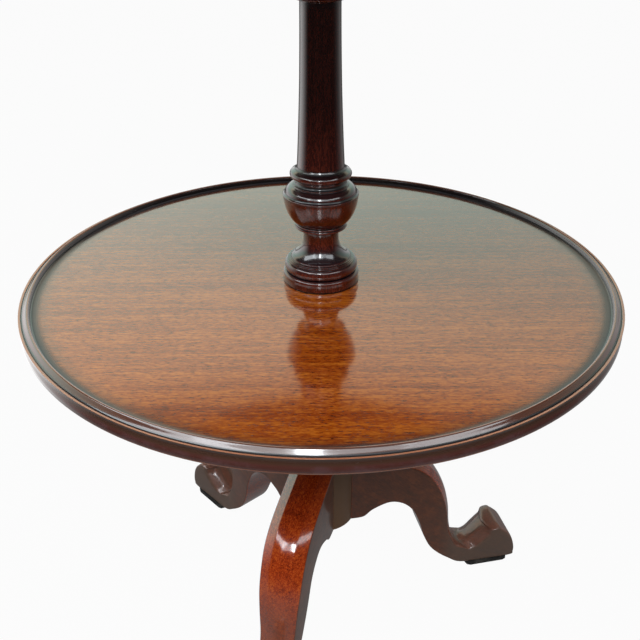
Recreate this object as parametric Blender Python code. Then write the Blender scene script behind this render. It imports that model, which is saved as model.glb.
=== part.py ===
"""Three-tier mahogany dumbwaiter: graduated dished trays that turn about a column on a tripod."""
import bpy
import bmesh
from math import cos, sin, pi, radians, sqrt
from mathutils import Vector

# Room left between pieces
SEAT_GAP = 0.0003
RUN_GAP = 0.0006
COLLAR_PLAY = 0.0008
OVERRUN = 0.004
WELD = 0.00002

# Heights of the tiers, measured at the sharp upper edge of each rim
LOWER_TRAY_HEIGHT = 0.440
TIER_STEP = 0.335

# Tray radii, lower to top
LOWER_TRAY_RADIUS = 0.305
MIDDLE_TRAY_RADIUS = 0.255
TOP_TRAY_RADIUS = 0.205

# Section through a tray's rim, from the sharp upper edge
RIM_DEPTH = 0.0158
RIM_WIDTH = 0.0168
DISH_DROP = 0.0025
BEAD_WIDTH = 0.0058
BEAD_INSET = 0.0046
BEAD_RISE = 0.00375
RIM_HOLLOW = 0.0012

# Turned collar let into each tray, its height above the dish, and the boss under the tray
COLLAR_RADIUS = 0.0394
COLLAR_HEIGHT = 0.0121
COLLAR_HOUSING_DEPTH = 0.0010
BOSS_RADIUS = 0.046
BOSS_HEIGHT = 0.013
WASHER_RADIUS = 0.027
WASHER_THICKNESS = 0.0015

# Boss screws
SCREW_RING_RADIUS = 0.0395
SCREW_RADIUS = 0.0022
SCREW_HEAD_RADIUS = 0.0042
SCREW_HEAD_DEPTH = 0.0026
SCREW_BITE = 0.0085

# Spigots that the trays turn on, and the tenons above them
SPIGOT_RADIUS = 0.013
TENON_RADIUS = 0.009
TENON_LENGTH = 0.034

# Turned column
VASE_RADIUS = 0.0381
VASE_HEIGHT = 0.109
SHAFT_TOP_RADIUS = 0.0190
CAPITAL_RADIUS = 0.0325
CAPITAL_HEIGHT = 0.030
UPPER_SECTION_SHARE = 0.9

# Pillar that the legs are housed in
PILLAR_RADIUS = 0.040
PILLAR_BOTTOM = 0.116
PILLAR_RING_RADIUS = 0.0425
PILLAR_RING_HEIGHT = 0.012
PILLAR_SHOULDER_HEIGHT = 0.008

# Legs
LEG_WIDTH = 0.050
LEG_TOP = 0.214
TRIPOD_RADIUS = 0.266
LEG_CROWN = 0.0016
LEG_ARRIS = 0.0008
RIGHT_LEG_ANGLE = 12
LEG_COUNT = 3
TONGUE_DEPTH = 0.013
TONGUE_NECK = 0.015
TONGUE_ROOT = 0.021

# Pads under the toes
PAD_THICKNESS = 0.005
PAD_INNER = 0.192
PAD_OUTER = 0.249
PAD_WIDTH = 0.044
PAD_CORNER = 0.006

# Button on the top of the column
BUTTON_RADIUS = 0.0300
BUTTON_HEIGHT = 0.030
BUTTON_TENON_LENGTH = 0.018

# Facets
TURN_STEPS = 20
TRAY_STEPS = 44
SCREW_STEPS = 8
SCREW_COUNT = 3
PAD_CORNER_STEPS = 2

# Bead inside a tray's rim: shares of its width from the inner side, and of its rise
BEAD_SHARES = [(0.00, 0.16), (0.14, 0.72), (0.50, 1.00), (0.86, 0.78)]
# Cove between the bead and the sharp edge: shares of (BEAD_INSET, DISH_DROP), inward and down
RIM_COVE_SHARES = [(1.00, 0.20), (0.40, 0.24)]
# Side of the rim from the sharp edge down: shares of (RIM_HOLLOW, RIM_DEPTH), inward and down
RIM_SIDE_SHARES = [(0.00, 0.00), (1.00, 0.24), (0.00, 0.64), (0.30, 1.00)]
# Softened edges: shares of COLLAR_HEIGHT, and of BOSS_HEIGHT inward and up
COLLAR_EDGE_SHARE = 0.14
BOSS_EDGE_SHARES = (0.15, 0.30)

# Turning above each tray: shares of (VASE_RADIUS, VASE_HEIGHT), foot to shaft
VASE_SHARES = [
    (0.932, 0.000), (0.975, 0.034), (0.990, 0.056), (0.955, 0.081), (0.887, 0.097),
    (0.858, 0.104), (0.852, 0.117), (0.790, 0.128), (0.693, 0.161), (0.593, 0.197),
    (0.520, 0.239), (0.483, 0.284), (0.478, 0.339), (0.493, 0.394), (0.562, 0.426),
    (0.656, 0.431), (0.693, 0.446), (0.677, 0.462), (0.640, 0.472), (0.730, 0.514),
    (0.824, 0.569), (0.924, 0.642), (0.987, 0.716), (1.000, 0.748), (0.965, 0.766),
    (0.929, 0.796), (0.829, 0.821), (0.738, 0.834), (0.656, 0.866), (0.668, 0.888),
    (0.714, 0.893), (0.772, 0.912), (0.798, 0.938), (0.766, 0.965), (0.693, 0.985),
    (0.627, 1.000),
]
# Tapering shaft: share of the way from the vase to the capital, share of the taper done
SHAFT_SHARES = [(0.06, 0.13), (0.22, 0.38), (0.50, 0.72), (0.78, 0.92), (1.00, 1.00)]
# Capital: shares of (CAPITAL_RADIUS, CAPITAL_HEIGHT)
CAPITAL_SHARES = [(0.70, 0.04), (0.75, 0.12), (0.70, 0.20), (0.61, 0.26), (0.64, 0.44),
                  (0.76, 0.62), (0.94, 0.76), (1.00, 0.88), (0.97, 1.00)]
# Flat of the pillar's ring as shares of its height, and the neck above it as a share of the pillar
PILLAR_RING_SHARES = (0.30, 0.70)
PILLAR_NECK_SHARE = 0.95
# Pillar above the leg seats, the same turning inverted: (VASE_RADIUS, height of the stretch)
PILLAR_SHARES = [(0.94, 0.00), (0.72, 0.05), (0.60, 0.13), (0.56, 0.20), (0.66, 0.30),
                 (0.86, 0.44), (0.98, 0.58), (1.00, 0.66), (0.94, 0.73), (0.78, 0.77),
                 (0.64, 0.82), (0.60, 0.90)]
# Leg outlines, from the pillar to the tip of the toe: shares of (TRIPOD_RADIUS, LEG_TOP).
# The last value is the share of the full width that the leg has there.
LEG_UPPER_SHARES = [
    (0.118, 1.000, 1.00), (0.230, 0.962, 1.00), (0.340, 0.922, 1.00), (0.430, 0.876, 1.00),
    (0.500, 0.812, 1.00), (0.552, 0.720, 0.98), (0.590, 0.610, 0.95), (0.614, 0.486, 0.88),
    (0.624, 0.370, 0.82), (0.634, 0.284, 0.79), (0.652, 0.206, 0.79), (0.684, 0.152, 0.83),
    (0.718, 0.158, 0.89), (0.748, 0.190, 0.94), (0.780, 0.228, 0.96), (0.808, 0.256, 0.95),
]
LEG_UNDER_SHARES = [
    (0.118, 0.545), (0.178, 0.545), (0.222, 0.588), (0.300, 0.622), (0.366, 0.598),
    (0.418, 0.530), (0.456, 0.420), (0.486, 0.300), (0.534, 0.182), (0.622, 0.080),
    (0.712, 0.0), (0.940, 0.0), (0.966, 0.060), (0.957, 0.140), (0.930, 0.215), (0.880, 0.275),
]
# Width of the flat middle band and depth of the chamfers, as shares of the leg's width,
# at the pillar and at the tip of the toe, and the depth of the chamfers under the toe
LEG_BAND_SHARES = (0.50, 0.40)
LEG_CHAMFER_SHARES = (0.17, 0.26)
LEG_TOE_CHAMFER_SHARE = 0.06
# Most that the chamfers may take of the leg's depth, above and under
LEG_CHAMFER_LIMIT_SHARES = (0.36, 0.20)
LEG_STATION_STEPS = 2
# Button outline: shares of (BUTTON_RADIUS, BUTTON_HEIGHT)
BUTTON_SHARES = [(0.94, 0.00), (1.00, 0.10), (0.94, 0.22), (0.66, 0.30), (0.52, 0.42),
                 (0.60, 0.52), (0.72, 0.66), (0.66, 0.82), (0.44, 0.94)]

# Colours of the finishes
MAHOGANY_TOP = (0.24, 0.085, 0.035)
MAHOGANY_TURNED = (0.085, 0.022, 0.012)
MAHOGANY_LEG = (0.19, 0.062, 0.026)
PAD_BLACK = (0.015, 0.012, 0.010)
BRASS = (0.66, 0.47, 0.20)
STEEL = (0.30, 0.29, 0.28)


def clear_scene():
    for item in list(bpy.data.objects):
        bpy.data.objects.remove(item, do_unlink=True)


def finish(name, colour, roughness, metallic):
    material = bpy.data.materials.new(name)
    material.use_nodes = True
    shader = material.node_tree.nodes["Principled BSDF"]
    shader.inputs["Base Color"].default_value = (*colour, 1.0)
    shader.inputs["Roughness"].default_value = roughness
    shader.inputs["Metallic"].default_value = metallic
    return material


def place(name, mesh, material, parent=None):
    item = bpy.data.objects.new(name, mesh)
    bpy.context.scene.collection.objects.link(item)
    if not mesh.materials:
        mesh.materials.append(material)
    item.parent = parent
    return item


def joint_axis(name, height):
    """An empty on the column's axis that a tray and its fittings turn with."""
    empty = bpy.data.objects.new(name, None)
    empty.location = (0.0, 0.0, height)
    bpy.context.scene.collection.objects.link(empty)
    return empty


def turned(name, outline, material, steps=TURN_STEPS, closed=False, parent=None):
    """Revolve (radius, height) points that run down the outer side."""
    base = parent.location.z if parent else 0.0
    mesh = bpy.data.meshes.new(name)
    points = [(radius, 0.0, height - base) for radius, height in outline]
    edges = [(i, i + 1) for i in range(len(points) - 1)]
    if closed:
        edges.append((len(points) - 1, 0))
    mesh.from_pydata(points, edges, [])
    item = place(name, mesh, material, parent)
    lathe = item.modifiers.new("lathe", "SCREW")
    lathe.axis = "Z"
    lathe.steps = steps
    lathe.render_steps = steps
    lathe.use_merge_vertices = True
    lathe.merge_threshold = WELD
    lathe.use_smooth_shade = True
    return item


def prism(name, plan, low, high):
    """Extrude a plan outline from one height to another."""
    shape = bmesh.new()
    base = shape.faces.new([shape.verts.new((x, y, low)) for x, y in plan])
    raised = bmesh.ops.extrude_face_region(shape, geom=[base])["geom"]
    lifted = [item for item in raised if isinstance(item, bmesh.types.BMVert)]
    bmesh.ops.translate(shape, verts=lifted, vec=(0.0, 0.0, high - low))
    bmesh.ops.recalc_face_normals(shape, faces=shape.faces)
    mesh = bpy.data.meshes.new(name)
    shape.to_mesh(mesh)
    shape.free()
    return mesh


def cutter(name, mesh):
    item = bpy.data.objects.new(name, mesh)
    bpy.context.scene.collection.objects.link(item)
    item.hide_render = True
    item.display_type = "WIRE"
    return item


def cut(item, tool):
    boolean = item.modifiers.new(tool.name, "BOOLEAN")
    boolean.operation = "DIFFERENCE"
    boolean.object = tool
    boolean.solver = "EXACT"


def circle(radius, steps, centre=(0.0, 0.0)):
    return [(centre[0] + radius * cos(2 * pi * i / steps),
             centre[1] + radius * sin(2 * pi * i / steps)) for i in range(steps)]


# Levels of one tier, worked out from the height of its rim
def tier_levels(rim):
    levels = {"rim": rim}
    levels["dish"] = rim - DISH_DROP
    levels["under"] = rim - RIM_DEPTH
    levels["boss_top"] = levels["under"] - SEAT_GAP
    levels["boss_bottom"] = levels["boss_top"] - BOSS_HEIGHT
    levels["washer_top"] = levels["boss_bottom"] - SEAT_GAP
    levels["bearing"] = levels["washer_top"] - WASHER_THICKNESS - SEAT_GAP
    levels["housing"] = levels["dish"] - COLLAR_HOUSING_DEPTH
    levels["collar_bottom"] = levels["housing"] + SEAT_GAP
    levels["collar_top"] = levels["dish"] + COLLAR_HEIGHT
    levels["section_foot"] = levels["collar_top"] + COLLAR_PLAY
    levels["shoulder"] = levels["section_foot"] - SEAT_GAP
    return levels


def spigot_outline(levels, tenon_length=TENON_LENGTH):
    """From the tenon's top down to the bearing face."""
    top = levels["shoulder"] + tenon_length
    return [(0.0, top), (TENON_RADIUS, top), (TENON_RADIUS, levels["shoulder"]),
            (SPIGOT_RADIUS, levels["shoulder"]), (SPIGOT_RADIUS, levels["bearing"])]


def socket_outline(foot, depth):
    """Up inside a socket from the foot to its closed end."""
    bore = TENON_RADIUS + SEAT_GAP
    return [(bore, foot), (bore, foot + depth + SEAT_GAP), (0.0, foot + depth + SEAT_GAP)]


def capital_outline(bearing, scale):
    foot = bearing - CAPITAL_HEIGHT
    points = [(CAPITAL_RADIUS * scale * r, foot + CAPITAL_HEIGHT * h) for r, h in CAPITAL_SHARES]
    return list(reversed(points))


def column_section(name, below, above, scale, material, tenon_length=TENON_LENGTH):
    """One length of column: socket, foot turning, tapering shaft, capital and spigot."""
    foot = below["section_foot"]
    radius = VASE_RADIUS * scale
    vase = [(radius * r, foot + VASE_HEIGHT * h) for r, h in VASE_SHARES]
    shaft_low = vase[-1]
    shaft_high = (SHAFT_TOP_RADIUS * scale, above["bearing"] - CAPITAL_HEIGHT)
    shaft = []
    for way, done in SHAFT_SHARES:
        shaft.append((shaft_low[0] + (shaft_high[0] - shaft_low[0]) * done,
                      shaft_low[1] + (shaft_high[1] - shaft_low[1]) * way))
    outline = spigot_outline(above, tenon_length) + capital_outline(above["bearing"], scale)
    outline += list(reversed(vase + shaft)) + socket_outline(foot, TENON_LENGTH)
    return turned(name, outline, material)


def tray_outline(radius, levels):
    """From the bore over the housing, the dish and the bead, then round the edge and back."""
    rim = levels["rim"]
    dish = levels["dish"]
    housing = levels["housing"]
    bore = SPIGOT_RADIUS + RUN_GAP
    housing_radius = COLLAR_RADIUS + SEAT_GAP
    bead_inner = radius - BEAD_INSET - BEAD_WIDTH
    bead_rise = rim + BEAD_RISE - dish
    outline = [(bore, housing), (housing_radius, housing), (housing_radius, dish),
               (radius - RIM_WIDTH, dish)]
    outline += [(bead_inner + BEAD_WIDTH * r, dish + bead_rise * h) for r, h in BEAD_SHARES]
    outline += [(radius - BEAD_INSET * r, rim - DISH_DROP * h) for r, h in RIM_COVE_SHARES]
    outline += [(radius - RIM_HOLLOW * r, rim - RIM_DEPTH * h) for r, h in RIM_SIDE_SHARES]
    return outline + [(bore, levels["under"])]


def screw_places():
    return circle(SCREW_RING_RADIUS, SCREW_COUNT)


def screw_outline(levels, room):
    """Countersunk screw from its tip in the tray down to its flush head."""
    tip = levels["under"] + SCREW_BITE + room
    head = levels["boss_bottom"]
    slope = head + SCREW_HEAD_DEPTH
    return [(0.0, tip), (SCREW_RADIUS + room, tip), (SCREW_RADIUS + room, slope + room),
            (SCREW_HEAD_RADIUS + room, head), (0.0, head)]


def revolve_at(shape, outline, centre, steps):
    """Add one small turned solid to a mesh, upright on its own centre."""
    rings = []
    for radius, height in outline:
        if radius == 0.0:
            rings.append([shape.verts.new((centre[0], centre[1], height))])
        else:
            rings.append([shape.verts.new((x, y, height)) for x, y in circle(radius, steps, centre)])
    for upper, lower in zip(rings, rings[1:]):
        for i in range(steps):
            j = (i + 1) % steps
            corners = [upper[i % len(upper)], lower[i % len(lower)],
                       lower[j % len(lower)], upper[j % len(upper)]]
            face = []
            for corner in corners:
                if corner not in face:
                    face.append(corner)
            shape.faces.new(face)


def screws_mesh(name, outline, centres):
    shape = bmesh.new()
    for centre in centres:
        revolve_at(shape, outline, centre, SCREW_STEPS)
    bmesh.ops.recalc_face_normals(shape, faces=shape.faces)
    mesh = bpy.data.meshes.new(name)
    shape.to_mesh(mesh)
    shape.free()
    return mesh


def boss_screws(name, levels, material, axis):
    """Screws through the boss into the tray, and the cutter for their holes."""
    outline = [(radius, height - levels["rim"]) for radius, height in screw_outline(levels, 0.0)]
    for number, centre in enumerate(screw_places(), 1):
        title = "%s_boss_screw_%d" % (name, number)
        place(title, screws_mesh(title, outline, [centre]), material, axis)
    hole = screw_outline(levels, SEAT_GAP)
    below = levels["boss_bottom"] - OVERRUN
    hole = hole[:-1] + [(hole[-2][0], below), (0.0, below)]
    return cutter(name + "_screw_holes", screws_mesh(name + "_screw_holes", hole, screw_places()))


def tier(name, radius, levels, finishes):
    """A tray with its collar, boss, screws and washer, all but the washer on one axis."""
    axis = joint_axis(name + "_axis", levels["rim"])
    bore = SPIGOT_RADIUS + RUN_GAP
    tray = turned(name + "_tray", tray_outline(radius, levels), finishes["top"],
                  TRAY_STEPS, True, axis)
    top, bottom = levels["collar_top"], levels["collar_bottom"]
    edge = COLLAR_HEIGHT * COLLAR_EDGE_SHARE
    turned(name + "_collar",
           [(bore, top), (COLLAR_RADIUS - edge, top), (COLLAR_RADIUS, top - edge),
            (COLLAR_RADIUS, bottom), (bore, bottom)],
           finishes["turned"], closed=True, parent=axis)
    top, bottom = levels["boss_top"], levels["boss_bottom"]
    inward, upward = [BOSS_HEIGHT * share for share in BOSS_EDGE_SHARES]
    boss = turned(name + "_boss",
                  [(bore, top), (BOSS_RADIUS, top), (BOSS_RADIUS, bottom + upward),
                   (BOSS_RADIUS - inward, bottom), (bore, bottom)],
                  finishes["turned"], closed=True, parent=axis)
    holes = boss_screws(name, levels, finishes["screw"], axis)
    cut(boss, holes)
    cut(tray, holes)
    top = levels["washer_top"]
    bottom = top - WASHER_THICKNESS
    inner = SPIGOT_RADIUS + SEAT_GAP
    turned(name + "_washer",
           [(inner, top), (WASHER_RADIUS, top), (WASHER_RADIUS, bottom), (inner, bottom)],
           finishes["brass"], closed=True)


def leg_seat():
    """Distance from the axis to the flats that the leg shoulders meet."""
    return sqrt(PILLAR_RADIUS ** 2 - (LEG_WIDTH / 2) ** 2)


def dovetail_plan(face, neck, root, depth, outer, half):
    """Plan of a shoulder with a dovetail reaching towards the axis."""
    return [(outer, -half), (outer, half), (face, half), (face, neck / 2),
            (face - depth, root / 2), (face - depth, -root / 2), (face, -neck / 2), (face, -half)]


def pillar(levels, material):
    ring_low = LEG_TOP + PILLAR_SHOULDER_HEIGHT
    ring_high = ring_low + PILLAR_RING_HEIGHT
    capital_foot = levels["bearing"] - CAPITAL_HEIGHT
    stretch = capital_foot - ring_high
    ring = [(PILLAR_RADIUS, ring_low)]
    ring += [(PILLAR_RING_RADIUS, ring_low + PILLAR_RING_HEIGHT * h) for h in PILLAR_RING_SHARES]
    ring += [(PILLAR_RADIUS * PILLAR_NECK_SHARE, ring_high)]
    vase = [(VASE_RADIUS * r, ring_high + stretch * h) for r, h in PILLAR_SHARES]
    outline = spigot_outline(levels) + capital_outline(levels["bearing"], 1.0)
    outline += list(reversed(ring + vase))
    outline += [(PILLAR_RADIUS, PILLAR_BOTTOM), (0.0, PILLAR_BOTTOM)]
    item = turned("pillar", outline, material)
    plan = dovetail_plan(leg_seat(), TONGUE_NECK + 2 * SEAT_GAP, TONGUE_ROOT + 2 * SEAT_GAP,
                         TONGUE_DEPTH + SEAT_GAP, PILLAR_RING_RADIUS + OVERRUN,
                         LEG_WIDTH / 2 + OVERRUN)
    for index in range(LEG_COUNT):
        tool = cutter("leg_seat_%d" % (index + 1),
                      prism("leg_seat", plan, PILLAR_BOTTOM - OVERRUN, LEG_TOP + SEAT_GAP))
        tool.rotation_euler = (0.0, 0.0, leg_angle(index))
        cut(item, tool)
    return item


def leg_angle(index):
    return radians(RIGHT_LEG_ANGLE) + 2 * pi * index / LEG_COUNT


def smooth_between(points, between):
    """Points on a smooth curve through the given ones (Catmull-Rom)."""
    result = []
    last = len(points) - 1
    for i in range(last):
        a, b, c, d = (Vector(points[max(i - 1, 0)]), Vector(points[i]),
                      Vector(points[i + 1]), Vector(points[min(i + 2, last)]))
        for step in range(between):
            t = step / between
            result.append(0.5 * (2 * b + (c - a) * t + (2 * a - 5 * b + 4 * c - d) * t ** 2
                                 + (3 * b - a - 3 * c + d) * t ** 3))
    result.append(Vector(points[last]))
    return result


def towards(shares, way):
    """A share that changes from its value at the pillar to its value at the toe."""
    return shares[0] + (shares[1] - shares[0]) * way


def leg_mesh(name):
    """Loft the leg through sections that run from the pillar to the tip of the toe."""
    sole = PAD_THICKNESS + SEAT_GAP
    seat = leg_seat() + SEAT_GAP
    upper = [(TRIPOD_RADIUS * r, LEG_TOP * h, w) for r, h, w in LEG_UPPER_SHARES]
    under = [(TRIPOD_RADIUS * r, max(LEG_TOP * h, sole), 0.0) for r, h in LEG_UNDER_SHARES]
    upper[0] = (seat, LEG_TOP, upper[0][2])
    under[0] = (seat, PILLAR_BOTTOM, 0.0)
    upper = smooth_between(upper, LEG_STATION_STEPS)
    under = smooth_between(under, LEG_STATION_STEPS)
    shape = bmesh.new()
    rings = []
    for index, (top, low) in enumerate(zip(upper, under)):
        toe = index / (len(upper) - 1)
        half = LEG_WIDTH * top.z / 2
        top_point = Vector((top.x, top.y))
        low_point = Vector((low.x, max(low.y, sole)))
        across = low_point - top_point
        depth = across.length
        across = across / depth
        band = half * towards(LEG_BAND_SHARES, toe ** 2)
        limit_above, limit_under = [depth * share for share in LEG_CHAMFER_LIMIT_SHARES]
        drop = min(LEG_WIDTH * towards(LEG_CHAMFER_SHARES, toe ** 2), limit_above)
        foot_drop = min(LEG_WIDTH * LEG_TOE_CHAMFER_SHARE * toe ** 3, limit_under)
        foot_drop = max(LEG_ARRIS, foot_drop)
        foot_half = half - foot_drop
        band_point = top_point + across * LEG_CROWN
        side_high = top_point + across * drop
        side_low = low_point - across * foot_drop
        section = [(top_point, 0.0), (band_point, band), (side_high, half), (side_low, half),
                   (low_point, foot_half), (low_point, -foot_half), (side_low, -half),
                   (side_high, -half), (band_point, -band)]
        rings.append([shape.verts.new((p.x, y, max(p.y, sole))) for p, y in section])
    count = len(rings[0])
    for near, far in zip(rings, rings[1:]):
        for i in range(count):
            j = (i + 1) % count
            shape.faces.new((near[i], near[j], far[j], far[i]))
    shape.faces.new(rings[0])
    shape.faces.new(list(reversed(rings[-1])))
    bmesh.ops.triangulate(shape, faces=shape.faces)
    bmesh.ops.recalc_face_normals(shape, faces=shape.faces)
    mesh = bpy.data.meshes.new(name)
    shape.to_mesh(mesh)
    shape.free()
    return mesh


def with_tongue(mesh):
    """Join the dovetail tongue to the shoulder of the leg."""
    face = leg_seat() + SEAT_GAP
    slope = (TONGUE_ROOT - TONGUE_NECK) / TONGUE_DEPTH
    reach = face + OVERRUN
    neck = TONGUE_NECK - slope * OVERRUN
    plan = [(reach, -neck / 2), (reach, neck / 2),
            (face - TONGUE_DEPTH, TONGUE_ROOT / 2), (face - TONGUE_DEPTH, -TONGUE_ROOT / 2)]
    low = PILLAR_BOTTOM + SEAT_GAP
    high = LEG_TOP - SEAT_GAP
    body = bpy.data.objects.new("leg_body", mesh)
    bpy.context.scene.collection.objects.link(body)
    tongue = cutter("leg_tongue", prism("leg_tongue", plan, low, high))
    join = body.modifiers.new("tongue", "BOOLEAN")
    join.operation = "UNION"
    join.solver = "EXACT"
    join.object = tongue
    bpy.context.view_layer.update()
    graph = bpy.context.evaluated_depsgraph_get()
    joined = bpy.data.meshes.new_from_object(body.evaluated_get(graph))
    bpy.data.objects.remove(body, do_unlink=True)
    bpy.data.objects.remove(tongue, do_unlink=True)
    return joined


def pad_plan():
    """Rounded rectangle of a toe pad."""
    corners = [(PAD_OUTER, 1, 1), (PAD_INNER, -1, 1), (PAD_INNER, -1, -1), (PAD_OUTER, 1, -1)]
    points = []
    for number, (reach, along, side) in enumerate(corners):
        centre = (reach - along * PAD_CORNER, side * (PAD_WIDTH / 2 - PAD_CORNER))
        for part in range(PAD_CORNER_STEPS + 1):
            turn = pi / 2 * (number + part / PAD_CORNER_STEPS)
            points.append((centre[0] + PAD_CORNER * cos(turn), centre[1] + PAD_CORNER * sin(turn)))
    return points


def tripod(finishes):
    mesh = with_tongue(leg_mesh("leg"))
    mesh.materials.clear()
    pad = prism("toe_pad", pad_plan(), 0.0, PAD_THICKNESS)
    names = ("right", "rear", "front")
    for index in range(LEG_COUNT):
        turn = (0.0, 0.0, leg_angle(index))
        place("leg_" + names[index], mesh, finishes["leg"]).rotation_euler = turn
        place("toe_pad_" + names[index], pad, finishes["pad"]).rotation_euler = turn


def button(levels, material):
    foot = levels["section_foot"]
    outline = [(BUTTON_RADIUS * r, foot + BUTTON_HEIGHT * h) for r, h in BUTTON_SHARES]
    outline = [(0.0, foot + BUTTON_HEIGHT)] + list(reversed(outline))
    return turned("top_button", outline + socket_outline(foot, BUTTON_TENON_LENGTH), material)


def build():
    clear_scene()
    finishes = {
        "top": finish("mahogany_top", MAHOGANY_TOP, 0.22, 0.0),
        "turned": finish("mahogany_turned", MAHOGANY_TURNED, 0.25, 0.0),
        "leg": finish("mahogany_leg", MAHOGANY_LEG, 0.28, 0.0),
        "pad": finish("pad_black", PAD_BLACK, 0.7, 0.0),
        "brass": finish("washer_brass", BRASS, 0.35, 1.0),
        "screw": finish("screw_steel", STEEL, 0.45, 1.0),
    }
    lower = tier_levels(LOWER_TRAY_HEIGHT)
    middle = tier_levels(LOWER_TRAY_HEIGHT + TIER_STEP)
    top = tier_levels(LOWER_TRAY_HEIGHT + 2 * TIER_STEP)
    pillar(lower, finishes["turned"])
    tripod(finishes)
    tier("lower", LOWER_TRAY_RADIUS, lower, finishes)
    column_section("lower_column", lower, middle, 1.0, finishes["turned"])
    tier("middle", MIDDLE_TRAY_RADIUS, middle, finishes)
    column_section("upper_column", middle, top, UPPER_SECTION_SHARE, finishes["turned"],
                   BUTTON_TENON_LENGTH)
    tier("top", TOP_TRAY_RADIUS, top, finishes)
    button(top, finishes["turned"])


build()
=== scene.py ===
# %% [markdown]
# # A three-tier mahogany dumbwaiter
# Three round trays, each smaller than the one below, turn about a turned column that stands on
# three scrolled legs. The frame holds every piece at its real place in metres, so each new piece
# is made where its own solid lies. First the frame is loaded and its pieces are set free at their
# places, so that the box of each can be read. The finished table has to stay inside it.

# %% Load the frame
from math import cos, pi, radians, sin, sqrt
import bmesh
import bpy
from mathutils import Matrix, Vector


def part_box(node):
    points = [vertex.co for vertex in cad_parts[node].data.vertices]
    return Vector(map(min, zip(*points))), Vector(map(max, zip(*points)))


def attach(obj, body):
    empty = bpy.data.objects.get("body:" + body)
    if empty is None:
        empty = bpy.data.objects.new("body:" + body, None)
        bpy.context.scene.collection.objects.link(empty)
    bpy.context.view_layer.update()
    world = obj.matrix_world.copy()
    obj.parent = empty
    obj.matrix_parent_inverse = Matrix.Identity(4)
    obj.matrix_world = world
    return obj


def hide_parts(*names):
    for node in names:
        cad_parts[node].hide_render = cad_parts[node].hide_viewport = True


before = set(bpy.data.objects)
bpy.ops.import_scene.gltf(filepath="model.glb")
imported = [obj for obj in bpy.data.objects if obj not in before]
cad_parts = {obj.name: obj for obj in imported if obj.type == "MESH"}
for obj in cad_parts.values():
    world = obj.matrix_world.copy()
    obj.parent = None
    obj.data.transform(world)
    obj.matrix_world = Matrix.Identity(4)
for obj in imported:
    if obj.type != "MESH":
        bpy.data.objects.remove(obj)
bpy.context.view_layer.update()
bpy.ops.object.select_all(action="DESELECT")
TIERS = ("lower", "middle", "top")

# %% [markdown]
# ## Camera
# The photograph looks down on the lowest tray from a little above the next one. Its rim is a
# circle seen as an ellipse, and the ellipse gives the height, the distance and the lens. The
# camera stands on the -Y side and looks along +Y.

# %% The camera
CAMERA_PLACE = (-0.00127, -0.79329, 0.83351)
CAMERA_PITCH = radians(29.439)
CAMERA_ROLL = radians(-0.19)
CAMERA_LENS = 47.25
bpy.ops.object.camera_add(location=CAMERA_PLACE, rotation=(pi / 2 - CAMERA_PITCH, 0.0, 0.0))
camera = bpy.context.object
camera.rotation_euler.rotate_axis("Z", CAMERA_ROLL)
camera.data.lens = CAMERA_LENS
camera.data.clip_start = 0.01
bpy.context.scene.camera = camera
bpy.context.scene.view_settings.view_transform = "Standard"
print("camera at", CAMERA_PLACE)

# %% [markdown]
# ## Shader helpers
# Wood is mostly arithmetic: stretch a noise along the grain, keep its peaks, darken the colour
# there. Writing each Math node by hand hides that arithmetic, so a small class wraps a socket
# and lets plain Python sums add the nodes. Everything that isn't a sum comes from one method.

# %% Sums of sockets
class Socket:
    """One output of a shader node that can be used in sums."""

    def __init__(self, recipe, socket):
        self.recipe = recipe
        self.socket = socket

    def math(self, operation, *terms):
        sockets = {place: term for place, term in enumerate(terms)}
        return self.recipe.add("ShaderNodeMath", {"operation": operation}, sockets)

    def __add__(self, other):
        return self.math("ADD", self, other)

    def __radd__(self, other):
        return self.math("ADD", other, self)

    def __sub__(self, other):
        return self.math("SUBTRACT", self, other)

    def __rsub__(self, other):
        return self.math("SUBTRACT", other, self)

    def __mul__(self, other):
        return self.math("MULTIPLY", self, other)

    def __rmul__(self, other):
        return self.math("MULTIPLY", other, self)

    def __truediv__(self, other):
        return self.math("DIVIDE", self, other)

    def __pow__(self, other):
        return self.math("POWER", self, other)

    def abs(self):
        return self.math("ABSOLUTE", self)

    def between(self, low, high):
        """0 below low, 1 above high and a smooth step from one to the other."""
        settings = {"interpolation_type": "SMOOTHSTEP"}
        sockets = {"Value": self, "From Min": low, "From Max": high}
        return self.recipe.add("ShaderNodeMapRange", settings, sockets)

    def inside(self, first, second):
        """1 between two smooth steps, each given as where it begins and where it is full."""
        return self.between(*first) * self.between(*second)

    def near(self, middle, spread):
        """1 at a middle value, with a smooth step down on both sides."""
        return (self - middle).abs().between(*spread)


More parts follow.
